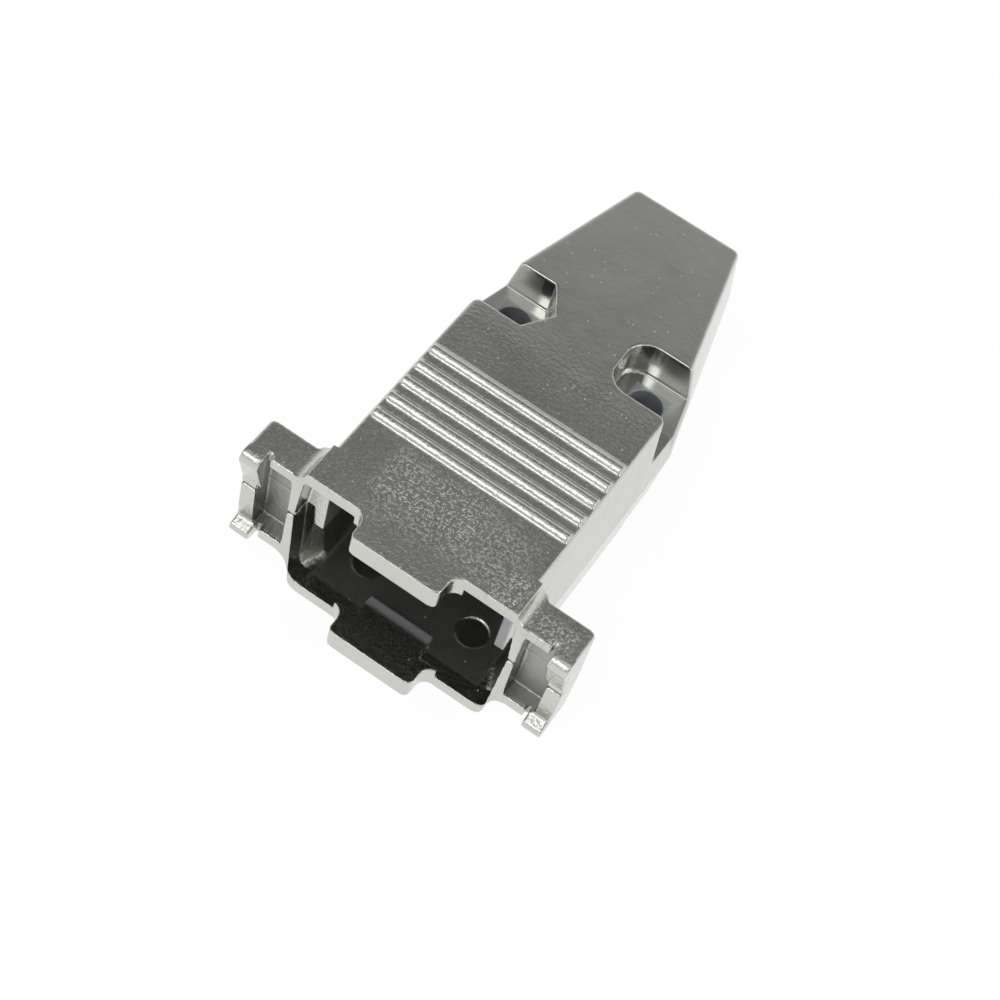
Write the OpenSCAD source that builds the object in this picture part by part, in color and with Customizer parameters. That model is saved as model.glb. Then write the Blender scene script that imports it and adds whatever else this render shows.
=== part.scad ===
// Hood for a nine-way D-sub connector: two die-cast zinc half shells that close
// round the back of the connector and its cable, with a cable clamp inside the tail.
// X runs across the ears, +Y from the connector towards the cable, +Z is up.
// The origin is the centre of the connector opening, on the plane where the flange seats.

/* [Body] */
// Height of the body from underside to top face
body_height = 17; // [16:0.5:20]
// How far above the connector's axis the two halves meet
parting_rise = 2; // [1.5:0.25:2.5]
// Length of the straight part, from the seat to where the sides start to narrow
straight_length = 25.2; // [24.8:0.1:25.6]
// Length of the whole body, from the seat to the cable end
body_length = 43.9; // [43:0.5:50]
// Width of the body where the halves meet
body_width = 21.4; // [21:0.2:23]
// Width of the top face
top_width = 19.2; // [18.8:0.2:20]
// Width of the underside
under_width = 19.8; // [19:0.2:20.4]
// Width of the cable end at the top face
tip_width = 11.1; // [10.5:0.1:12]
// How much lower the cable end is than the top face
tail_drop = 0.7; // [0.3:0.1:1.2]
// Where the faces start to slope down to the cable end
crease_at = 20.6; // [20:0.2:21.6]
// Corner radius of the outline
corner_radius = 1.3; // [1:0.1:1.6]
// Corner radius of the cable end
tip_corner = 0.7; // [0.5:0.1:1]
// Rounding of the top face's edges
top_edge = 0.3; // [0.1:0.1:0.5]
// Rounding of the underside's edges
under_edge = 1.1; // [0.5:0.1:1.2]
// Thickness of the top and bottom plates
plate = 1.3; // [1:0.1:1.6]

/* [Mouth] */
// Width of the shallow step that takes the connector's shell, at the plates
step_width = 19.9; // [19:0.1:20.1]
// Depth of that step, and of the recesses in the ears
step_depth = 1.8; // [1.4:0.1:2.2]
// How much wider the step gets towards the parting plane, each side
step_draft = 0.35; // [0.2:0.05:0.45]
// Radius of the mouth's corners in the lower half
lower_corner = 1.2; // [0.8:0.1:1.4]
// Radius of the mouth's corners in the upper half
upper_corner = 0.5; // [0.4:0.1:0.8]
// Width of the inside behind the step
inside_width = 16.7; // [16:0.1:17.2]
// Width of the lips that reach over the connector's flange
lip_width = 8.3; // [7:0.1:9]
// How far the lips stand out of the seat
lip_reach = 2.4; // [1.6:0.1:3]
// Thickness of the lips
lip_thickness = 2.2; // [1.8:0.1:2.2]
// Radius of the hollow corners at the root of a lip
lip_fillet = 1; // [0.5:0.1:1.2]
// How far the root pad of a lip runs back inside
lip_root = 2.6; // [2.2:0.1:3.5]
// Radius of the two round marks on the floor
mark_radius = 1.5; // [1:0.1:2]
// Distance of a mark from the middle
mark_x = 5.3; // [5:0.1:6]
// Distance of a mark from the seat
mark_y = 5.5; // [5:0.1:8]

/* [Ears] */
// Width over both ears
ear_width = 31; // [30.6:0.1:32]
// Depth of an ear from the seat to its back
ear_depth = 3.3; // [3:0.1:4.5]
// Height of the upper half's ears above the parting plane
ear_rise = 5.35; // [4.8:0.05:5.6]
// Depth of the lower half's ears below the parting plane
ear_fall = 6.25; // [5.6:0.05:7]
// Thickness of an ear's outer wall and plate
ear_wall = 1.4; // [1.2:0.1:1.5]
// Thickness of the bar between the mouth and an ear's recess
bar = 1.1; // [0.9:0.1:1.3]
// Rounding of an ear's long outer edges
ear_edge = 0.3; // [0.2:0.1:0.5]
// Corner radius of an ear seen from above
ear_corner = 0.7; // [0.4:0.1:1]
// Radius of the hollow corner between an ear's face and the body
ear_fillet = 1.6; // [1:0.1:1.8]
// Radius of the beads on the front corners of the ears
bead_radius = 0.8; // [0.6:0.05:0.9]
// How far the beads stand out of the seat
bead_reach = 1.1; // [0.9:0.05:1.3]
// Length of a bead along the ear
bead_length = 1.8; // [1.6:0.1:2]

/* [Grip] */
// Number of ribs across the top
rib_count = 5; // [3:1:5]
// Distance from the seat to the first rib
first_rib = 8.35; // [7:0.05:9]
// Distance from rib to rib
rib_pitch = 2.05; // [1.8:0.05:2.1]
// Radius of a rib
rib_radius = 0.6; // [0.4:0.05:0.7]

/* [Fastening] */
// Distance between the two shell screws
screw_spacing = 13.4; // [13:0.1:14]
// Distance from the seat to the shell screws
screw_at = 26.4; // [26.2:0.1:27]
// Diameter of the screw holes, for M3
screw_hole = 3.2; // [3.1:0.1:3.4]
// Width across the flats of the nut pockets
nut_flats = 5.8; // [5.6:0.1:6]
// Width of the pockets for the screw heads
head_width = 6; // [5.8:0.1:6.2]
// Corner radius of those pockets
head_corner = 2.1; // [1.6:0.1:2.6]
// Depth of the pockets below the face
pocket_depth = 4; // [3.6:0.1:4.2]
// Rounding of the body's corner in front of a pocket
pocket_shoulder = 0.8; // [0.5:0.1:1]
// Thickness of metal round a pocket
pocket_wall = 1.1; // [0.9:0.1:1.2]
// How far the upper half's tongues reach down inside the lower half
tongue_reach = 2.4; // [2:0.1:2.8]
// Gap between a tongue and the lower half's wall
tongue_gap = 0.15; // [0.1:0.05:0.3]

/* [Cable clamp] */
// Diameter of the cable that the clamp holds
cable = 6.2; // [5.6:0.1:6.4]
// Gap round the cable where it leaves the hood
outlet_gap = 0.5; // [0.3:0.1:0.8]
// Size of the clamp along the cable
clamp_depth = 3.6; // [3:0.1:4.5]
// Thickness of the clamp over the cable
clamp_bridge = 1.1; // [0.8:0.1:1.6]
// Metal between the cable and a clamp screw
clamp_web = 0.4; // [0.3:0.05:0.6]
// Gap between the clamp and the screw columns' blocks
clamp_gap = 0.25; // [0.2:0.05:0.6]
// Diameter of the clamp screws, M2
clamp_screw = 2; // [1.8:0.1:2]
// Diameter of their heads
clamp_head = 3.5; // [3.2:0.1:3.5]
// Height of their heads
clamp_head_height = 1.3; // [1.1:0.1:1.4]
// Width and depth of the slots in their heads
clamp_slot = 0.5; // [0.4:0.05:0.6]
// Length of a clamp screw below its head
clamp_screw_length = 8; // [7:0.5:8.5]

/* [Hidden] */
$fn = 48;

silver = [0.78, 0.78, 0.76];
steel = [0.62, 0.63, 0.65];

// Depth that one shape is sunk into another, and spare length of cutters
sunk = 0.3;
cut = 1;

// Depth of each half from the parting plane to its own face.
upper_depth = body_height / 2 - parting_rise;
lower_depth = body_height / 2 + parting_rise;

// At the cable end the sides lean out less than at the mouth.
tip_draft = 0.7;
tip_base_width = tip_width + tip_draft * (body_width - top_width);
// Straight stretch of the sides next to the parting plane, and of a corner inside its rounding
land = 0.3;
tip_flat = 0.1;

// Metal left at the cable end and at the sides there
end_wall = 3.9;
side_wall = 1.3;
inner_tip_width = tip_base_width - 2 * side_wall;

// The ears lean in towards the faces, and run a little way into the body.
ear_draft = 0.1;
ear_root = 1.2;
// How far an ear's hollow corner stands off the edge of the face
corner_out = 0.3;
bar_outer = step_width / 2 + bar;
// The small hollow corner behind an ear, and the notch beside its bead
ear_back_fillet = 0.4;
notch_width = 0.4;
notch_depth = 0.5;
// How far below an ear's face the wall starts to lean out to the bead
upper_lead = 4.6;
lower_lead = 2 * bead_radius;

lip_half = lip_width / 2;
lip_corner = 0.6;
mark_depth = 0.15;

// Half height and depth of the narrow gap between the halves at the front
relief = 0.18;
relief_depth = 0.4;

screw_x = screw_spacing / 2;
column_wall = 1.2;
column_radius = screw_hole / 2 + column_wall;
pocket_floor = 1.2;
nut_corners = 2 * nut_flats / sqrt(3);
// How far the pocket for a screw head goes inwards from the screw
head_reach = 3.3;

// The lower half's wall beside a tongue, and the stretch behind the step where the mouth narrows to it
tongue_wall = 1;
tongue_lead = 2;
step_inset = 0.1;
tongue_back = screw_at - nut_corners / 2 - pocket_wall - sunk;
// Half width of the lower half's room at the parting plane and at the plate
room_at_parting = body_width / 2 - tongue_wall;
room_at_plate = under_width / 2 - tongue_wall;

saddle_radius = cable / 2;
clamp_at = screw_at + nut_corners / 2 + pocket_wall + clamp_gap + clamp_depth / 2;
clamp_spacing = cable + clamp_screw + 2 * clamp_web;
clamp_end = 1.3;
clamp_length = clamp_spacing + 2 * clamp_end;
clamp_play = 0.15;
// The clamp meets its cradle a little below the cable's axis.
clamp_seat = -0.55;
clamp_top = saddle_radius + clamp_bridge;

// Height of a half's face above its parting plane, at a distance y from the seat.
function face_height(depth, y) =
    depth - tail_drop * max(0, y - crease_at) / (body_length - crease_at);

// A post with a rounded top edge, the corner of a block made with hull().
module post(x, y, top, radius, edge) {
    translate([x, y, 0])
        for (turn = [0 : 30 : 90])
            cylinder(r = radius - edge + edge * cos(turn), h = top - edge + edge * sin(turn), $fn = 32);
}

// The tapered block of a half: straight, then narrowing to the cable end, with drafted sides.
module tapered_block(depth, face_w, base_w, tip_w, tip_base_w, front, back, edge) {
    r = corner_radius;
    t = tip_corner;
    hull()
        for (side = [-1, 1]) {
            for (y = [front, crease_at, straight_length])
                post(side * (face_w / 2 - r), y, face_height(depth, y), r, edge);
            post(side * (tip_w / 2 - t), back - t, face_height(depth, back), t, min(edge, t - tip_flat));
            for (y = [front, straight_length])
                translate([side * (base_w / 2 - r), y, 0])
                    cylinder(r = r, h = land, $fn = 32);
            translate([side * (tip_base_w / 2 - t), back - t, 0])
                cylinder(r = t, h = land, $fn = 32);
        }
}

// Everything in front of a given distance from the seat, as a cutter.
module ahead_of(y) {
    translate([-ear_width, y - 2 * corner_radius - cut, -cut])
        cube([2 * ear_width, 2 * corner_radius + cut, body_height]);
}

// Outline of an ear seen from the front, with its hollow corner against the body.
module ear_front(depth, reach, face_w) {
    fillet = min(ear_fillet, depth - reach);
    inner = face_w / 2 + corner_out + fillet;
    outer = ear_width / 2 - ear_draft - ear_edge;
    polygon(concat(
        [[face_w / 2 - ear_root, 0], [ear_width / 2, 0]],
        [for (a = [0 : 15 : 90]) [outer + ear_edge * cos(a), reach - ear_edge + ear_edge * sin(a)]],
        [for (a = [270 : -15 : 180]) [inner + fillet * cos(a), reach + fillet + fillet * sin(a)]],
        [[face_w / 2 - ear_root, reach + fillet]]));
}

// Outline of an ear seen from above, with its hollow corner behind.
module ear_plan() {
    inner = body_width / 2 + ear_back_fillet;
    outer = ear_width / 2 - ear_corner;
    back = ear_depth + ear_back_fillet;
    root = top_width / 2 - ear_root;
    polygon(concat(
        [[root, 0], [ear_width / 2 + cut, 0], [ear_width / 2 + cut, ear_depth - ear_corner]],
        [for (a = [0 : 15 : 90]) [outer + ear_corner * cos(a), ear_depth - ear_corner + ear_corner * sin(a)]],
        [for (a = [270 : -15 : 180]) [inner + ear_back_fillet * cos(a), back + ear_back_fillet * sin(a)]],
        [[root, back]]));
}

// An ear without its recess.
module ear(depth, reach, face_w) {
    intersection() {
        translate([0, ear_depth + ear_back_fillet, 0])
            rotate([90, 0, 0])
                linear_extrude(ear_depth + ear_back_fillet) ear_front(depth, reach, face_w);
        linear_extrude(depth) ear_plan();
    }
}

// The bead on an ear's front corner, with the wall leaning out to it.
module bead(reach, lead) {
    translate([ear_width / 2 - ear_draft - bead_length, 0, 0])
        rotate([90, 0, 90])
            linear_extrude(bead_length)
                polygon(concat(
                    [[sunk, reach - lead], [0, reach - lead]],
                    [for (a = [210 : -15 : 90])
                        [bead_radius - bead_reach + bead_radius * cos(a),
                         reach - bead_radius + bead_radius * sin(a)]],
                    [[sunk, reach]]));
}

// The recess in an ear and the small notch beside its bead.
module ear_recess(reach) {
    outer = ear_width / 2 - ear_wall;
    top = reach - ear_wall + sunk;
    translate([0, step_depth, 0])
        rotate([90, 0, 0])
            linear_extrude(step_depth + cut)
                polygon([
                    [bar_outer - ear_draft, -cut], [outer, -cut],
                    [outer - ear_draft, top], [bar_outer, top]]);
    translate([ear_width / 2 - ear_draft - bead_length - notch_width, -cut, top - cut])
        cube([notch_width, cut + notch_depth, reach]);
}

// A slice across the mouth whose back is at a distance y from the seat: drafted walls with the given
// half widths at the parting plane and the plate, and rounded corners.
module mouth_slice(y, length, depth, at_parting, at_plate, corner) {
    top = depth - plate;
    start = at_parting + (at_parting - at_plate) * cut / (top - corner);
    translate([0, y, 0])
        rotate([90, 0, 0])
            linear_extrude(length)
                for (side = [0, 1])
                    mirror([side, 0])
                        polygon(concat(
                            [[-sunk, -cut], [start, -cut]],
                            [for (a = [0 : 22.5 : 90])
                                [at_plate - corner + corner * cos(a), top - corner + corner * sin(a)]],
                            [[-sunk, top]]));
}

// The step in the mouth that takes the connector's shell.
module mouth_step(depth, corner) {
    half = step_width / 2;
    mouth_slice(step_depth, step_depth + cut, depth, half + step_draft, half, corner);
}

// The lip that reaches over the connector's flange, with its root pad inside.
module lip(depth) {
    root = lip_half + lip_fillet;
    tip = lip_half - lip_corner;
    front = -lip_reach + lip_corner;
    half_outline = concat(
        [for (a = [270 : 15 : 360]) [tip + lip_corner * cos(a), front + lip_corner * sin(a)]],
        [for (a = [180 : -15 : 90]) [root + lip_fillet * cos(a), -lip_fillet + lip_fillet * sin(a)]],
        [[root, sunk], [0, sunk], [0, -lip_reach]]);
    translate([0, 0, depth - lip_thickness])
        linear_extrude(lip_thickness) {
            for (side = [0, 1])
                mirror([side, 0]) polygon(half_outline);
            translate([-lip_half + lip_fillet, -sunk])
                square([lip_width - 2 * lip_fillet, lip_root + sunk]);
        }
}

// Metal round a fastener whose pocket has the given reach: a block under the pocket and a column.
module fastener_tower(side, depth, pocket_reach) {
    inner = screw_x - pocket_reach - pocket_wall;
    reach = pocket_reach + pocket_wall;
    base = depth - pocket_depth - pocket_floor;
    translate([side > 0 ? inner : -inner - body_width, screw_at - reach, base])
        cube([body_width, 2 * reach, depth]);
    translate([side * screw_x, screw_at, -2 * cut])
        cylinder(r = column_radius, h = depth + 2 * cut);
}

// The room under a half's plate, with walls that follow the outside.
module inside_room(depth) {
    front = step_depth - sunk;
    back = body_length - end_wall;
    roof = face_height(depth, back) - plate;
    intersection() {
        translate([0, 0, -cut])
            linear_extrude(body_height)
                polygon([
                    [-inside_width / 2, front], [inside_width / 2, front],
                    [inside_width / 2, straight_length], [inner_tip_width / 2, back],
                    [-inner_tip_width / 2, back], [-inside_width / 2, straight_length]]);
        translate([-body_width / 2, 0, 0])
            rotate([90, 0, 90])
                linear_extrude(body_width)
                    polygon([
                        [0, -cut], [body_length, -cut], [body_length, roof], [back, roof],
                        [crease_at, depth - plate], [0, depth - plate]]);
    }
}

// The hollow inside of a half, which leaves the two fastener towers standing.
module hollow(depth) {
    difference() {
        inside_room(depth);
        fastener_tower(-1, depth, nut_corners / 2);
        fastener_tower(1, depth, head_reach);
    }
}

// A pocket about a screw, open to the side: its inner end is given, its front corner is rounded.
module side_pocket(depth, half, inner_end) {
    r = pocket_shoulder;
    side = top_width / 2 - screw_x;
    out = body_width / 2 - screw_x + cut;
    translate([0, 0, depth - pocket_depth])
        linear_extrude(pocket_depth + cut)
            polygon(concat(
                inner_end,
                [[out, half], [out, -half - r / 2 - 2 * (out - side)]],
                [for (a = [30 : 15 : 90]) [side - r + r * cos(a), -half - r + r * sin(a)]]));
}

// The nut pocket of a half, open to the left, and the screw hole through its floor.
module nut_pocket(depth) {
    half = nut_flats / 2;
    translate([-screw_x, screw_at, 0]) {
        mirror([1, 0, 0])
            side_pocket(depth, half,
                [[-nut_corners / 4, -half], [-nut_corners / 2, 0], [-nut_corners / 4, half]]);
        screw_passage(depth);
    }
}

// The pocket for a screw head, open to the right, and the screw hole through its floor.
module head_pocket(depth) {
    half = head_width / 2;
    c = head_corner;
    translate([screw_x, screw_at, 0]) {
        side_pocket(depth, half, [
            for (a = [270 : -15 : 90])
                [c - head_reach + c * cos(a), (a > 180 ? c - half : half - c) + c * sin(a)]]);
        screw_passage(depth);
    }
}

module screw_passage(depth) {
    translate([0, 0, -cut])
        cylinder(d = screw_hole, h = depth + 2 * cut);
}

// One half shell, drawn with its parting plane at zero and its face upwards.
// What it is given as a child is cut out of its inside too.
module half_shell(depth, reach, lead, face_w, edge, corner) {
    difference() {
        union() {
            difference() {
                tapered_block(depth, face_w, body_width, tip_width, tip_base_width, 0, body_length, edge);
                ahead_of(0);
            }
            ear(depth, reach, face_w);
            mirror([1, 0, 0]) ear(depth, reach, face_w);
        }
        difference() {
            union() {
                hollow(depth);
                mouth_step(depth, corner);
                children();
            }
            lip(depth);
        }
        ear_recess(reach);
        mirror([1, 0, 0]) ear_recess(reach);
        nut_pocket(depth);
        head_pocket(depth);
        parting_relief();
    }
    intersection() {
        lip(depth);
        ahead_of(sunk);
    }
    bead(reach, lead);
    mirror([1, 0, 0]) bead(reach, lead);
}

// The narrow gap that shows where the two halves meet at the front.
module parting_relief() {
    translate([-ear_width, -cut, -cut])
        cube([2 * ear_width, cut + relief_depth, cut + relief]);
}

// The cable's way out through the cable end.
module cable_outlet() {
    translate([0, body_length + cut, 0])
        rotate([90, 0, 0])
            cylinder(d = cable + 2 * outlet_gap, h = end_wall + 3 * cut);
}

module grip_ribs() {
    length = top_width - 2 * top_edge;
    for (i = [0 : rib_count - 1])
        translate([-length / 2, first_rib + i * rib_pitch, body_height / 2 - rib_radius / 3])
            rotate([0, 90, 0])
                cylinder(r = rib_radius, h = length);
}

// The tongue of the upper half, which goes down beside the lower half's drafted wall.
module tongue() {
    base = room_at_parting - tongue_gap;
    tip = base - (room_at_parting - room_at_plate) * tongue_reach / (lower_depth - plate - lower_corner);
    inner = inside_width / 2;
    translate([0, tongue_back - tongue_gap, parting_rise])
        rotate([90, 0, 0])
            linear_extrude(tongue_back - tongue_gap - step_depth)
                polygon([
                    [inner, sunk], [inner, -tongue_reach], [tip, -tongue_reach], [base, 0], [base, sunk]]);
}

// The room between the lower half's walls, which takes the tongues and narrows a little from the step.
module tongue_room() {
    half = step_width / 2 - step_inset;
    lead_back = step_depth + tongue_lead;
    hull() {
        mouth_slice(step_depth, sunk, lower_depth, half + step_draft, half, lower_corner);
        tongue_slice(lead_back, sunk);
    }
    tongue_slice(tongue_back, tongue_back - lead_back + sunk / 2);
}

module tongue_slice(y, length) {
    mouth_slice(y, length, lower_depth, room_at_parting, room_at_plate, lower_corner);
}

module upper_shell() {
    color(silver) {
        difference() {
            union() {
                translate([0, 0, parting_rise])
                    half_shell(upper_depth, ear_rise, upper_lead, top_width, top_edge, upper_corner);
                grip_ribs();
            }
            clamp_room();
            cable_outlet();
        }
        tongue();
        mirror([1, 0, 0]) tongue();
    }
}

// The block that holds the cable: the cradle below the seat, or the clamp above it.
module cable_block(bottom, top) {
    translate([-clamp_length / 2, clamp_at - clamp_depth / 2, bottom])
        cube([clamp_length, clamp_depth, top - bottom]);
}

// The room round the clamp and its screw heads, which the walls beside them leave free.
module clamp_room() {
    half = max(clamp_length, clamp_spacing + clamp_head) / 2 + clamp_play;
    reach = max(clamp_depth, clamp_head) / 2 + clamp_play;
    translate([-half, clamp_at - reach, clamp_seat])
        cube([2 * half, 2 * reach, clamp_top + clamp_head_height + clamp_play - clamp_seat]);
}

// The cable's own space in the block, and the holes for the two clamp screws.
module cable_block_holes(bottom) {
    translate([0, clamp_at, 0]) {
        rotate([90, 0, 0])
            cylinder(r = saddle_radius, h = clamp_depth + 2 * cut, center = true);
        for (side = [-1, 1])
            translate([side * clamp_spacing / 2, 0, bottom])
                cylinder(d = clamp_screw, h = clamp_top + cut - bottom);
    }
}

module lower_shell() {
    color(silver)
        difference() {
            union() {
                translate([0, 0, parting_rise])
                    rotate([0, 180, 0])
                        half_shell(lower_depth, ear_fall, lower_lead, under_width, under_edge, lower_corner)
                            tongue_room();
                cable_block(-body_height / 2 + plate - sunk, clamp_seat + cut);
            }
            clamp_room();
            cable_outlet();
            cable_block_holes(clamp_top - clamp_screw_length - sunk);
            for (side = [-1, 1])
                translate([side * mark_x, mark_y, -body_height / 2 + plate - mark_depth])
                    cylinder(r = mark_radius, h = cut);
        }
}

// The clamp that holds the cable down on its cradle.
module cable_clamp() {
    color(silver)
        difference() {
            cable_block(clamp_seat, clamp_top);
            cable_block_holes(clamp_seat - cut);
        }
}

// A clamp screw with its slotted head, in place on the clamp.
module clamp_screw_at(side) {
    color(steel)
        translate([side * clamp_spacing / 2, clamp_at, clamp_top]) {
            difference() {
                cylinder(d = clamp_head, h = clamp_head_height);
                translate([-clamp_head, -clamp_slot / 2, clamp_head_height - clamp_slot])
                    cube([2 * clamp_head, clamp_slot, cut]);
            }
            translate([0, 0, -clamp_screw_length])
                cylinder(d = clamp_screw, h = clamp_screw_length);
        }
}

module clamp_screw_left() { clamp_screw_at(-1); }
module clamp_screw_right() { clamp_screw_at(1); }

upper_shell();
lower_shell();
cable_clamp();
clamp_screw_left();
clamp_screw_right();
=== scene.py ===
"""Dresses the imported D-sub hood: soft-edged castings, nickel plating, the clamp and a pale studio."""
import math
from collections import namedtuple

import bmesh
import bpy
import numpy as np
from mathutils import Matrix, Vector


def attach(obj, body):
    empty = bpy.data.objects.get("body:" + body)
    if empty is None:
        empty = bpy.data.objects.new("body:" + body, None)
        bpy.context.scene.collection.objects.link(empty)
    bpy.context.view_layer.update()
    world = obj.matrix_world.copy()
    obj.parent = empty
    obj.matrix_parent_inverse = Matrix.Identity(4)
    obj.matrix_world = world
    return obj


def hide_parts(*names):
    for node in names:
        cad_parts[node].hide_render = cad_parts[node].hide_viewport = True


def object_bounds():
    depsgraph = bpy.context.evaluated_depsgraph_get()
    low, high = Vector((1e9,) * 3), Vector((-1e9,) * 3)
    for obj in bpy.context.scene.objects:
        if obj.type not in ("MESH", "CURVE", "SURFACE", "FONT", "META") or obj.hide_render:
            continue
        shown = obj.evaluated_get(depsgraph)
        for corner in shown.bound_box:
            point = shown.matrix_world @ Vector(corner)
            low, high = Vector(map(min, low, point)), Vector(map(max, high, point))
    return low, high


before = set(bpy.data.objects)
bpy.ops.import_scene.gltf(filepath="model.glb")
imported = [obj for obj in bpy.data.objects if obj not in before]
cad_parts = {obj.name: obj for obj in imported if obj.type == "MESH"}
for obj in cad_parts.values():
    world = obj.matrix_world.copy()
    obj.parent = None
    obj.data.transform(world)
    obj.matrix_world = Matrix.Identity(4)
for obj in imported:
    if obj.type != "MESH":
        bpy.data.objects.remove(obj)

bl_info = {
    "name": "D-sub hood",
    "version": (1, 0, 0),
    "blender": (4, 5, 0),
    "location": "View3D > Sidebar > Hood",
    "description": "Finishes a die-cast connector hood and sets up a pale studio for it",
    "category": "Object",
}

BODY = "root"
MM = 0.001
SHELLS = ("upper_shell", "lower_shell")
CLAMP = "cable_clamp"
SCREWS = ("clamp_screw_left", "clamp_screw_right")
CAD_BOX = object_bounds()

# A box of the hood in millimetres, with a soft rim, where its finish differs.
Zone = namedtuple("Zone", "centre half_size rim")

# Rough patches: behind the upper lip, at the front corner of the top, and on the right ear.
ROUGH_PATCHES = (
    Zone((-1.0, 4.6, 8.6), (4.2, 1.8, 1.4), 1.5),
    Zone((8.2, 1.6, 8.6), (1.0, 1.4, 1.4), 0.9),
    Zone((12.6, 1.0, 6.0), (1.6, 1.0, 2.5), 0.8),
)
# The front of the top, with fewer and fainter specks.
SPECKLED = (Zone((1.5, 3.6, 8.6), (6.5, 3.0, 1.4), 1.6),)
SPECKLED_SHARE = 0.35
# The front half, where the grain is coarse. It is finer on the tail.
COARSE = (Zone((0.0, 8.0, 0.0), (20.0, 15.0, 20.0), 3.0),)
TAIL_GRAIN = 0.15
# The inside: the right tongue, the mouth, the cable's way and the two bores. Painted shade darkens
# their colour, and the plating there is duller and less metallic.
INSIDE = (
    Zone((8.1, 1.9, 1.2), (1.1, 1.6, 4.6), 0.15),
    Zone((0.0, 13.0, 0.0), (8.25, 11.2, 7.0), 0.35),
    Zone((0.0, 33.0, 0.0), (4.1, 10.3, 3.9), 0.3),
    Zone((-6.7, 26.4, 0.0), (1.75, 1.75, 8.3), 0.2),
    Zone((6.7, 26.4, 0.0), (1.75, 1.75, 8.3), 0.2),
)
# The recesses in the front of the ears, darkened with painted shade.
EAR_RECESSES = (
    Zone((12.6, 1.3, 0.0), (1.55, 0.95, 7.0), 0.25),
    Zone((-12.6, 1.3, 0.0), (1.55, 0.95, 7.0), 0.25),
)
# The pockets for a screw's head and a nut, darkened in part with painted shade.
POCKETS = (
    Zone((8.9, 27.5, 5.6), (2.8, 2.6, 2.3), 0.3),
    Zone((-8.9, 27.5, 5.6), (2.8, 2.6, 2.3), 0.3),
)
# Share of the painted shade in the pockets.
POCKET_SHARE = 0.35
# A darker band behind the ribs, blending partway towards the recess shade colour.
DARKER_BAND = (Zone((0.0, 17.5, 8.6), (3.0, 2.0, 1.0), 4.0),)
DARKER_SHARE = 0.35
# The floor right under the hood, seen only through the bores.
UNDER_HOOD = (Zone((0.0, 16.0, CAD_BOX[0].z / MM), (7.6, 14.0, 1.0), 0.3),)

# Height of the sky, as the sine of its angle, and its brightness there.
SKY = (
    (0.0, 1.0), (0.35, 0.8), (0.66, 0.4), (0.73, 0.34),
    (0.78, 0.16), (0.87, 0.19), (0.95, 0.6), (1.0, 0.9),
)
# Name, place, size and power of each lamp, in metres and watts.
LAMPS = (
    ("key_lamp", (-0.10, -0.26, 0.42), 0.26, 0.5),
    ("side_lamp", (0.40, 0.05, 0.25), 0.2, 0.3),
)


# ---------------------------------------------------------------- settings

class CastingSettings(bpy.types.PropertyGroup):
    """Sizes and colours of the two castings."""

    grid: bpy.props.FloatProperty(
        name="Grid", description="Grid on which the castings' skin is laid",
        default=0.08 * MM, min=0.05 * MM, max=0.3 * MM, unit="LENGTH")
    softening: bpy.props.IntProperty(
        name="Softening", description="Passes that round the castings' edges and corners",
        default=9, min=0, max=20)
    thinning: bpy.props.FloatProperty(
        name="Thinning", description="Share of the skin's triangles that is kept",
        default=0.12, min=0.02, max=1.0)
    plating: bpy.props.FloatVectorProperty(
        name="Plating", description="Colour of the nickel plating",
        default=(0.61, 0.62, 0.578), size=3, min=0.0, max=1.0, subtype="COLOR")
    # Painted shade deep inside: this colour darkens the mouth, the cable's way, the bores and the right
    # tongue, where shade falls.
    inside: bpy.props.FloatVectorProperty(
        name="Inside", description="Colour of the thin, dull plating deep inside",
        default=(0.36, 0.37, 0.385), size=3, min=0.0, max=1.0, subtype="COLOR")
    inside_metal: bpy.props.FloatProperty(
        name="Metal inside", description="How metallic the thin plating inside looks",
        default=0.35, min=0.0, max=1.0)
    # Painted shade in the pockets and the ears' recesses; the darker band behind the ribs also blends
    # towards it.
    recess_shade: bpy.props.FloatVectorProperty(
        name="Recess", description="Colour of the dull plating in pockets and recesses",
        default=(0.38, 0.385, 0.37), size=3, min=0.0, max=1.0, subtype="COLOR")
    roughness: bpy.props.FloatProperty(
        name="Roughness", description="Roughness of the bright plating",
        default=0.15, min=0.0, max=1.0)
    dullness: bpy.props.FloatProperty(
        name="Dullness", description="Roughness that hollows and the inside have on top",
        default=0.2, min=0.0, max=1.0)
    peel: bpy.props.FloatProperty(
        name="Orange peel", description="Height of the skin's long waves, in millimetres",
        default=0.012, min=0.0, max=0.1)
    grain: bpy.props.FloatProperty(
        name="Grain", description="Height of the skin's fine grain, in millimetres",
        default=0.05, min=0.0, max=0.1)
    pimple: bpy.props.FloatProperty(
        name="Pimples", description="Height of the small blisters under the plating, in millimetres",
        default=0.06, min=0.0, max=0.2)


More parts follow.
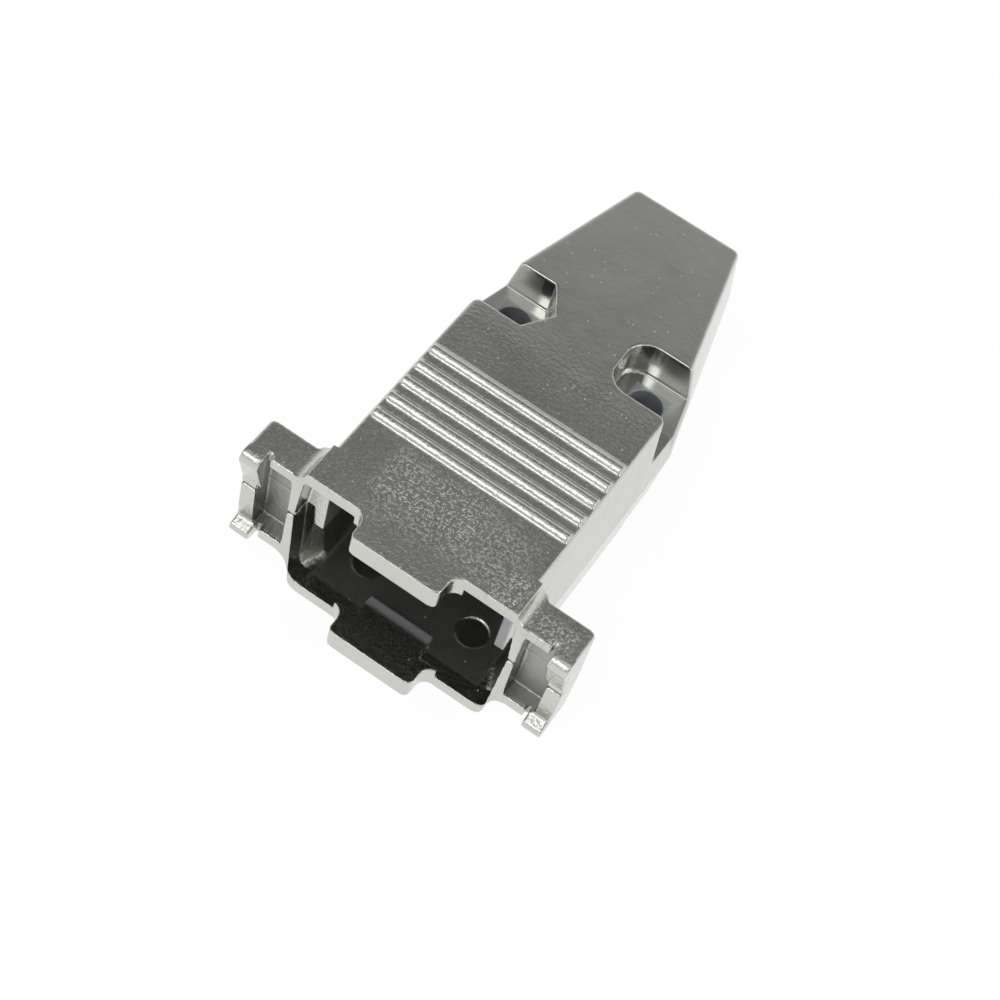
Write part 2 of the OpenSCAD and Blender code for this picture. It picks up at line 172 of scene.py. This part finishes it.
class ClampSettings(bpy.types.PropertyGroup):
    """Sizes and colours of the cable clamp and its screws."""

    edge_radius: bpy.props.FloatProperty(
        name="Edge radius", description="Rounding of the edges of the clamp and the screws",
        default=0.08 * MM, min=0.0, max=0.3 * MM, unit="LENGTH")
    edge_angle: bpy.props.FloatProperty(
        name="Edge angle", description="Edges that bend more than this are rounded",
        default=math.radians(35), subtype="ANGLE")
    zinc: bpy.props.FloatVectorProperty(
        name="Zinc", description="Colour of the clamp's plating",
        default=(0.52, 0.53, 0.52), size=3, min=0.0, max=1.0, subtype="COLOR")
    zinc_roughness: bpy.props.FloatProperty(
        name="Zinc roughness", description="Roughness of the clamp's plating",
        default=0.32, min=0.0, max=1.0)
    zinc_peel: bpy.props.FloatProperty(
        name="Zinc waves", description="Height of the waves on the clamp, in millimetres",
        default=0.008, min=0.0, max=0.1)
    steel: bpy.props.FloatVectorProperty(
        name="Steel", description="Colour of the screws' plating",
        default=(0.62, 0.63, 0.64), size=3, min=0.0, max=1.0, subtype="COLOR")
    steel_roughness: bpy.props.FloatProperty(
        name="Steel roughness", description="Roughness of the screws' plating",
        default=0.24, min=0.0, max=1.0)
    steel_peel: bpy.props.FloatProperty(
        name="Steel waves", description="Height of the waves on the screws, in millimetres",
        default=0.003, min=0.0, max=0.1)


class StudioSettings(bpy.types.PropertyGroup):
    """Floor and camera."""

    floor_size: bpy.props.FloatProperty(
        name="Floor size", description="Half the floor's width", default=1.5, unit="LENGTH")
    floor_gap: bpy.props.FloatProperty(
        name="Floor gap", description="How far the floor lies under the hood",
        default=0.02 * MM, min=0.0, unit="LENGTH")
    floor_colour: bpy.props.FloatVectorProperty(
        name="Floor colour", description="Colour of the floor's sheet",
        default=(0.85, 0.85, 0.85), size=3, min=0.0, max=1.0, subtype="COLOR")
    glow: bpy.props.FloatProperty(
        name="Glow", description="Brightness that keeps the sheet white", default=1.08, min=0.0)
    glow_share: bpy.props.FloatProperty(
        name="Glow share", description="Share of the glow. The rest shows the shadow",
        default=0.85, min=0.0, max=1.0)
    camera_at: bpy.props.FloatVectorProperty(
        name="Camera", description="Where the camera stands",
        default=(29.6 * MM, -77.9 * MM, 140.0 * MM), size=3, unit="LENGTH")
    camera_aim: bpy.props.FloatVectorProperty(
        name="Aim", description="Point on the optical axis",
        default=(2.94 * MM, 15.75 * MM, 0.0), size=3, unit="LENGTH")
    camera_roll: bpy.props.FloatProperty(
        name="Roll", description="Turn of the camera about its own axis",
        default=math.radians(20.12), subtype="ANGLE")
    lens: bpy.props.FloatProperty(
        name="Lens", description="Focal length, in millimetres on a 36 mm sensor", default=73.4)
    shift: bpy.props.FloatVectorProperty(
        name="Shift", description="Shift of the lens, as a share of the frame",
        default=(-0.0305, -0.0084), size=2)


def settings():
    """The settings of the castings, of the clamp with its screws, and of the studio."""
    scene = bpy.context.scene
    return scene.hood_casting, scene.hood_clamp, scene.hood_studio


# ---------------------------------------------------------------- shapes

def new_object(name, data):
    """A new object in the scene."""
    made = bpy.data.objects.new(name, data)
    bpy.context.scene.collection.objects.link(made)
    return made


def merged_copy(node, name, same_point=2e-6, same_plane=math.radians(0.6)):
    """A new object with the CAD node's mesh, its triangles joined and flat regions made one face."""
    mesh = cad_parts[node].data.copy()
    mesh.name = name
    work = bmesh.new()
    work.from_mesh(mesh)
    bmesh.ops.remove_doubles(work, verts=work.verts, dist=same_point)
    bmesh.ops.dissolve_limit(
        work, angle_limit=same_plane, use_dissolve_boundaries=False,
        verts=work.verts, edges=work.edges, delimit=set())
    work.to_mesh(mesh)
    work.free()
    return new_object(name, mesh)


def apply_modifiers(piece):
    """Makes what the modifiers show the piece's own mesh."""
    shown = piece.evaluated_get(bpy.context.evaluated_depsgraph_get())
    mesh = bpy.data.meshes.new_from_object(shown)
    piece.modifiers.clear()
    piece.data = mesh


def smooth_flats(piece):
    """Shades the piece smooth, with the flat faces setting the normals."""
    for polygon in piece.data.polygons:
        polygon.use_smooth = True
    normals = piece.modifiers.new("normals", "WEIGHTED_NORMAL")
    normals.keep_sharp = False
    normals.weight = 50


def round_edges(piece, radius, angle):
    """Rounds every edge sharper than angle, keeping the flat faces flat."""
    bevel = piece.modifiers.new("edges", "BEVEL")
    bevel.width = radius
    bevel.segments = 2
    bevel.limit_method = "ANGLE"
    bevel.angle_limit = angle
    bevel.use_clamp_overlap = True
    smooth_flats(piece)
    apply_modifiers(piece)


def points_of(mesh):
    """The mesh's points, one in each row."""
    points = np.empty(len(mesh.vertices) * 3, dtype=np.float32)
    mesh.vertices.foreach_get("co", points)
    return points.reshape(-1, 3)


def cast_copy(node, name, casting):
    """The CAD node as a casting: a fine skin over its form, with every edge and corner softened.

    The skin is laid in millimetres, because the grid has a smallest step. At the end each
    point p becomes min(max(p, low), high), which keeps the skin inside the node's own box.
    """
    piece = merged_copy(node, name)
    own = points_of(piece.data)
    low, high = own.min(axis=0), own.max(axis=0)
    piece.data.transform(Matrix.Scale(1 / MM, 4))
    skin = piece.modifiers.new("skin", "REMESH")
    skin.mode = "VOXEL"
    skin.voxel_size = casting.grid / MM
    soft = piece.modifiers.new("soft", "SMOOTH")
    soft.factor = 0.5
    soft.iterations = casting.softening
    thin = piece.modifiers.new("thin", "DECIMATE")
    thin.ratio = casting.thinning
    apply_modifiers(piece)
    piece.data.transform(Matrix.Scale(MM, 4))
    kept = np.clip(points_of(piece.data), low, high)
    piece.data.vertices.foreach_set("co", kept.astype(np.float32).ravel())
    smooth_flats(piece)
    apply_modifiers(piece)
    return piece


def hand_over(piece, node, material):
    """Puts the finished piece in the CAD node's place."""
    piece.data.materials.clear()
    piece.data.materials.append(material)
    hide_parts(node)
    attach(piece, BODY)


# ---------------------------------------------------------------- nodes

def feed_inputs(tree, made, feeds):
    """Links or sets inputs of a node; feeds gives, by number or name, a socket or a constant."""
    for key, feed in feeds.items():
        if isinstance(feed, bpy.types.NodeSocket):
            tree.links.new(feed, made.inputs[key])
        else:
            made.inputs[key].default_value = feed


def add(tree, kind, feeds=None, **options):
    """Adds a node with its options and what its inputs get."""
    made = tree.nodes.new("ShaderNode" + kind)
    for key, value in options.items():
        setattr(made, key, value)
    feed_inputs(tree, made, feeds or {})
    return made


def maths(tree, operation, *feeds):
    """The result of a Math node."""
    return add(tree, "Math", dict(enumerate(feeds)), operation=operation).outputs[0]


def largest(tree, masks):
    """The largest of several masks."""
    top = masks[0]
    for mask in masks[1:]:
        top = maths(tree, "MAXIMUM", top, mask)
    return top


def blend_colours(tree, share, low, high):
    """Low where share is 0, high where it is 1."""
    return add(tree, "Mix", {0: share, 6: low, 7: high}, data_type="RGBA").outputs[2]


def position_in_mm(tree):
    """The place on the object, in millimetres."""
    coords = add(tree, "TexCoord")
    scaled = add(
        tree, "VectorMath", {0: coords.outputs["Object"], 3: 1 / MM}, operation="SCALE")
    return scaled.outputs[0]


def new_group(name, takes, gives):
    """An empty node group, with its sockets."""
    group = bpy.data.node_groups.new(name, "ShaderNodeTree")
    for label, kind, value in takes:
        socket = group.interface.new_socket(
            label, in_out="INPUT", socket_type="NodeSocket" + kind)
        socket.default_value = value
    for label, kind in gives:
        group.interface.new_socket(label, in_out="OUTPUT", socket_type="NodeSocket" + kind)
    given = group.nodes.new("NodeGroupInput").outputs
    wanted = group.nodes.new("NodeGroupOutput").inputs
    return group, given, wanted


def build_box_mask(name):
    """1 inside a box, 0 outside, with a soft rim: all in millimetres."""
    group, given, wanted = new_group(
        name,
        [("Position", "Vector", (0, 0, 0)), ("Centre", "Vector", (0, 0, 0)),
         ("Half size", "Vector", (1, 1, 1)), ("Soft", "Float", 0.2)],
        [("Mask", "Float")])
    offset = add(
        group, "VectorMath", {0: given["Position"], 1: given["Centre"]}, operation="SUBTRACT")
    size = add(group, "VectorMath", {0: offset.outputs[0]}, operation="ABSOLUTE")
    past = add(
        group, "VectorMath", {0: size.outputs[0], 1: given["Half size"]}, operation="SUBTRACT")
    parts = add(group, "SeparateXYZ", {0: past.outputs[0]})
    reach = largest(group, list(parts.outputs))
    within = maths(group, "MULTIPLY", given["Soft"], -1.0)
    ramp = add(
        group, "MapRange", {0: reach, 1: within, 2: given["Soft"], 3: 1.0, 4: 0.0},
        interpolation_type="SMOOTHSTEP")
    group.links.new(ramp.outputs[0], wanted["Mask"])
    return group


def build_plated_skin(name):
    """The plated skin's relief in millimetres, and its uneven tone.

    Long waves, a fine grain, lumps where the mask asks for them, and a few small blisters.
    """
    group, given, wanted = new_group(
        name,
        [("Position", "Vector", (0, 0, 0)), ("Peel", "Float", 0.01), ("Grain", "Float", 0.003),
         ("Pimple", "Float", 0.03), ("Blistered", "Float", 0.0)],
        [("Height", "Float"), ("Tone", "Float")])

    def noise(scale, detail, roughness):
        feeds = {"Vector": given["Position"], "Scale": scale, "Detail": detail,
                 "Roughness": roughness}
        return add(group, "TexNoise", feeds).outputs[0]

    lumps = add(group, "MapRange", {0: noise(3.4, 2.0, 0.55), 1: 0.54, 2: 0.64, 3: 0.0, 4: 1.0})
    patch = maths(group, "MULTIPLY", lumps.outputs[0], given["Blistered"])
    cells = add(group, "TexVoronoi", {"Vector": given["Position"], "Scale": 2.2, "Randomness": 1.0})
    dome = add(
        group, "MapRange", {0: cells.outputs["Distance"], 1: 0.05, 2: 0.2, 3: 1.0, 4: 0.0},
        interpolation_type="SMOOTHSTEP")
    pick = add(group, "SeparateColor", {0: cells.outputs["Color"]})
    dense = maths(group, "MULTIPLY_ADD", given["Blistered"], 0.3, 0.09)
    chosen = maths(group, "LESS_THAN", pick.outputs[0], dense)
    blister = maths(group, "MULTIPLY", dome.outputs[0], chosen)

    waves = maths(group, "MULTIPLY", noise(0.7, 1.5, 0.4), given["Peel"])
    grained = maths(group, "MULTIPLY_ADD", noise(2.6, 3.0, 0.62), given["Grain"], waves)
    patched = maths(group, "MULTIPLY_ADD", patch, given["Pimple"], grained)
    half = maths(group, "MULTIPLY", given["Pimple"], 0.5)
    height = maths(group, "MULTIPLY_ADD", blister, half, patched)
    group.links.new(height, wanted["Height"])

    tone = add(group, "MapRange", {0: noise(0.22, 5.0, 0.65), 1: 0.3, 2: 0.7, 3: 0.0, 4: 1.0})
    group.links.new(tone.outputs[0], wanted["Tone"])
    return group


SHARED_GROUPS = {"box_mask": build_box_mask, "plated_skin": build_plated_skin}


def use_group(tree, name, feeds):
    """Adds a shared node group, built at its first use, and gives its outputs."""
    made = tree.nodes.new("ShaderNodeGroup")
    made.node_tree = bpy.data.node_groups.get(name) or SHARED_GROUPS[name](name)
    feed_inputs(tree, made, feeds)
    return made.outputs


def zone_mask(tree, at, zones):
    """1 in any of the zones."""
    return largest(tree, [
        use_group(tree, "box_mask", {
            "Position": at, "Centre": zone.centre, "Half size": zone.half_size,
            "Soft": zone.rim})["Mask"]
        for zone in zones])


# ---------------------------------------------------------------- materials

def new_material(name):
    """A material, its nodes and its shader."""
    material = bpy.data.materials.new(name)
    material.use_nodes = True
    tree = material.node_tree
    return material, tree, tree.nodes["Principled BSDF"]


def shade(colour, share=1.0):
    """A colour of the settings, darkened to a share, as a socket takes it."""
    return (*(share * part for part in colour), 1)


def emboss(tree, shader, relief):
    """Raises the skin by the relief's height in millimetres."""
    bump = add(tree, "Bump", {"Height": relief["Height"], "Distance": MM, "Strength": 1.0})
    tree.links.new(bump.outputs[0], shader.inputs["Normal"])


def casting_material(casting):
    """Nickel plating over a die casting: bright outside; painted shade darkens the hollows and the
    inside, which are also rougher, and the inside is less metallic.
    """
    material, tree, shader = new_material("plated_casting")
    at = position_in_mm(tree)
    patches, speckled, inside, ears, pockets, coarse, band = (
        zone_mask(tree, at, zones) for zones in (
            ROUGH_PATCHES, SPECKLED, INSIDE, EAR_RECESSES, POCKETS, COARSE, DARKER_BAND))

    blistered = maths(
        tree, "MAXIMUM", patches, maths(tree, "MULTIPLY", speckled, SPECKLED_SHARE))
    grain_share = maths(tree, "MULTIPLY_ADD", coarse, 1 - TAIL_GRAIN, TAIL_GRAIN)
    relief = use_group(tree, "plated_skin", {
        "Position": at, "Peel": casting.peel, "Pimple": casting.pimple,
        "Grain": maths(tree, "MULTIPLY", grain_share, casting.grain), "Blistered": blistered})
    emboss(tree, shader, relief)

    outer = blend_colours(
        tree, relief["Tone"], shade(casting.plating, 0.9), shade(casting.plating))
    # A darker band behind the ribs, blending partway towards the recess shade colour.
    banded = blend_colours(
        tree, maths(tree, "MULTIPLY", band, DARKER_SHARE), outer, shade(casting.recess_shade))
    # Painted shade: the ears' recesses fully and the pockets in part blend towards the recess shade
    # colour.
    hollow = maths(tree, "MAXIMUM", ears, maths(tree, "MULTIPLY", pockets, POCKET_SHARE))
    hollowed = blend_colours(tree, hollow, banded, shade(casting.recess_shade))
    # Painted shade inside: the mouth, the cable's way, the bores and the right tongue take the inside
    # colour.
    whole = blend_colours(tree, inside, hollowed, shade(casting.inside))
    tree.links.new(whole, shader.inputs["Base Color"])

    metal = maths(tree, "MULTIPLY_ADD", inside, casting.inside_metal - 1, 1.0)
    tree.links.new(metal, shader.inputs["Metallic"])
    uneven = maths(tree, "MULTIPLY_ADD", relief["Tone"], 0.05, casting.roughness)
    dulled = largest(tree, [inside, ears, pockets])
    rough = maths(tree, "MULTIPLY_ADD", dulled, casting.dullness, uneven)
    tree.links.new(rough, shader.inputs["Roughness"])
    return material


def hardware_material(name, colour, roughness, peel):
    """Dull zinc plating, with an uneven tone and a faint relief."""
    material, tree, shader = new_material(name)
    relief = use_group(
        tree, "plated_skin", {"Position": position_in_mm(tree), "Peel": peel, "Pimple": 0.01})
    emboss(tree, shader, relief)
    plated = blend_colours(tree, relief["Tone"], shade(colour, 0.78), shade(colour))
    tree.links.new(plated, shader.inputs["Base Color"])
    shader.inputs["Metallic"].default_value = 1
    rough = maths(tree, "MULTIPLY_ADD", relief["Tone"], 0.12, roughness)
    tree.links.new(rough, shader.inputs["Roughness"])
    return material


# ---------------------------------------------------------------- stage

def make_floor(studio):
    """A white sheet that keeps the object's shadow.

    It stays dark under the hood, where no light gets in, and is clear from below.
    """
    half, low = studio.floor_size, CAD_BOX[0].z - studio.floor_gap
    mesh = bpy.data.meshes.new("floor")
    mesh.from_pydata(
        [(-half, -half, low), (half, -half, low), (half, half, low), (-half, half, low)],
        [], [(0, 1, 2, 3)])
    floor = new_object("floor", mesh)
    material, tree, shader = new_material("pale_floor")
    shader.inputs["Base Color"].default_value = shade(studio.floor_colour)
    shader.inputs["Roughness"].default_value = 0.9
    shader.inputs["Specular IOR Level"].default_value = 0.0

    path = add(tree, "LightPath").outputs
    seen = largest(
        tree, [path["Is Camera Ray"], path["Is Glossy Ray"], path["Is Transmission Ray"]])
    under = zone_mask(tree, position_in_mm(tree), UNDER_HOOD)
    lit = maths(tree, "MULTIPLY", seen, maths(tree, "SUBTRACT", 1.0, under))
    share = maths(tree, "MULTIPLY", lit, studio.glow_share)
    glow = add(tree, "Emission", {"Color": (1, 1, 1, 1), "Strength": studio.glow})
    white = add(tree, "MixShader", {0: share, 1: shader.outputs["BSDF"], 2: glow.outputs[0]})
    below = add(tree, "NewGeometry").outputs["Backfacing"]
    clear = add(tree, "BsdfTransparent")
    sheet = add(tree, "MixShader", {0: below, 1: white.outputs[0], 2: clear.outputs[0]})
    tree.links.new(sheet.outputs[0], tree.nodes["Material Output"].inputs["Surface"])
    mesh.materials.append(material)


def make_world():
    """The sky: white near the horizon, grey higher up, pale again overhead, and white if seen."""
    world = bpy.data.worlds.new("studio")
    bpy.context.scene.world = world
    world.use_nodes = True
    tree = world.node_tree
    parts = add(tree, "SeparateXYZ", {0: add(tree, "TexCoord").outputs["Generated"]})
    ramp = add(tree, "ValToRGB", {"Fac": parts.outputs["Z"]})
    elements = ramp.color_ramp.elements
    for i, (place, level) in enumerate(SKY):
        element = elements[i] if i < 2 else elements.new(place)
        element.position = place
        element.color = (level, level, level, 1)
    sky = tree.nodes["Background"]
    tree.links.new(ramp.outputs["Color"], sky.inputs["Color"])
    white = add(tree, "Background", {"Color": (1, 1, 1, 1)})
    seen = add(tree, "LightPath").outputs["Is Camera Ray"]
    whole = add(tree, "MixShader", {0: seen, 1: sky.outputs[0], 2: white.outputs[0]})
    tree.links.new(whole.outputs[0], tree.nodes["World Output"].inputs["Surface"])


def make_lamps():
    """Soft lamps that face the hood's middle."""
    centre = (CAD_BOX[0] + CAD_BOX[1]) / 2
    for name, place, size, power in LAMPS:
        lamp = bpy.data.lights.new(name, "AREA")
        lamp.size = size
        lamp.energy = power
        holder = new_object(name, lamp)
        holder.location = Vector(place)
        holder.rotation_euler = (centre - Vector(place)).to_track_quat("-Z", "Y").to_euler()


def make_camera(studio):
    """A camera that looks down on the mouth, rolled about its own axis."""
    camera = bpy.data.cameras.new("camera")
    camera.lens = studio.lens
    camera.sensor_width = 36
    camera.shift_x, camera.shift_y = studio.shift
    camera.clip_start = 0.01
    holder = new_object("camera", camera)
    ahead = Vector(studio.camera_aim) - Vector(studio.camera_at)
    level = ahead.to_track_quat("-Z", "Y").to_matrix().to_4x4()
    turned = level @ Matrix.Rotation(studio.camera_roll, 4, "Z")
    holder.matrix_world = Matrix.Translation(Vector(studio.camera_at)) @ turned
    bpy.context.scene.camera = holder


# ---------------------------------------------------------------- operators

class HOOD_OT_shells(bpy.types.Operator):
    """Soften the edges of both half shells and plate them"""

    bl_idname = "hood.shells"
    bl_label = "Half shells"

    def execute(self, context):
        casting, _, _ = settings()
        material = casting_material(casting)
        for node in SHELLS:
            piece = cast_copy(node, node + "_casting", casting)
            hand_over(piece, node, material)
        return {"FINISHED"}


class HOOD_OT_clamp(bpy.types.Operator):
    """Finish the block that holds the cable"""

    bl_idname = "hood.clamp"
    bl_label = "Cable clamp"

    def execute(self, context):
        _, clamp, _ = settings()
        material = hardware_material(
            "zinc_plated_clamp", clamp.zinc, clamp.zinc_roughness, clamp.zinc_peel)
        piece = merged_copy(CLAMP, CLAMP + "_block")
        round_edges(piece, clamp.edge_radius, clamp.edge_angle)
        hand_over(piece, CLAMP, material)
        return {"FINISHED"}


class HOOD_OT_screws(bpy.types.Operator):
    """Finish the two screws that pull the clamp down"""

    bl_idname = "hood.screws"
    bl_label = "Clamp screws"

    def execute(self, context):
        _, clamp, _ = settings()
        material = hardware_material(
            "zinc_plated_steel", clamp.steel, clamp.steel_roughness, clamp.steel_peel)
        for node in SCREWS:
            piece = merged_copy(node, node + "_steel")
            round_edges(piece, clamp.edge_radius, clamp.edge_angle)
            hand_over(piece, node, material)
        return {"FINISHED"}


class HOOD_OT_stage(bpy.types.Operator):
    """Set up the floor, the light and the camera"""

    bl_idname = "hood.stage"
    bl_label = "Stage"

    def execute(self, context):
        _, _, studio = settings()
        make_floor(studio)
        make_world()
        make_lamps()
        make_camera(studio)
        context.scene.view_settings.view_transform = "Standard"
        return {"FINISHED"}


class HOOD_PT_panel(bpy.types.Panel):
    """Lists the steps that finish the hood"""

    bl_idname = "HOOD_PT_panel"
    bl_label = "D-sub hood"
    bl_space_type = "VIEW_3D"
    bl_region_type = "UI"
    bl_category = "Hood"

    def draw(self, context):
        for operator in OPERATORS:
            self.layout.operator(operator.bl_idname)


OPERATORS = (HOOD_OT_shells, HOOD_OT_clamp, HOOD_OT_screws, HOOD_OT_stage)
CLASSES = (CastingSettings, ClampSettings, StudioSettings, *OPERATORS, HOOD_PT_panel)


def register():
    for cls in CLASSES:
        bpy.utils.register_class(cls)
    bpy.types.Scene.hood_casting = bpy.props.PointerProperty(type=CastingSettings)
    bpy.types.Scene.hood_clamp = bpy.props.PointerProperty(type=ClampSettings)
    bpy.types.Scene.hood_studio = bpy.props.PointerProperty(type=StudioSettings)


def unregister():
    del bpy.types.Scene.hood_studio
    del bpy.types.Scene.hood_clamp
    del bpy.types.Scene.hood_casting
    for cls in reversed(CLASSES):
        bpy.utils.unregister_class(cls)


def main():
    register()
    bpy.ops.hood.shells()
    bpy.ops.hood.clamp()
    bpy.ops.hood.screws()
    bpy.ops.hood.stage()


if __name__ == "__main__":
    main()
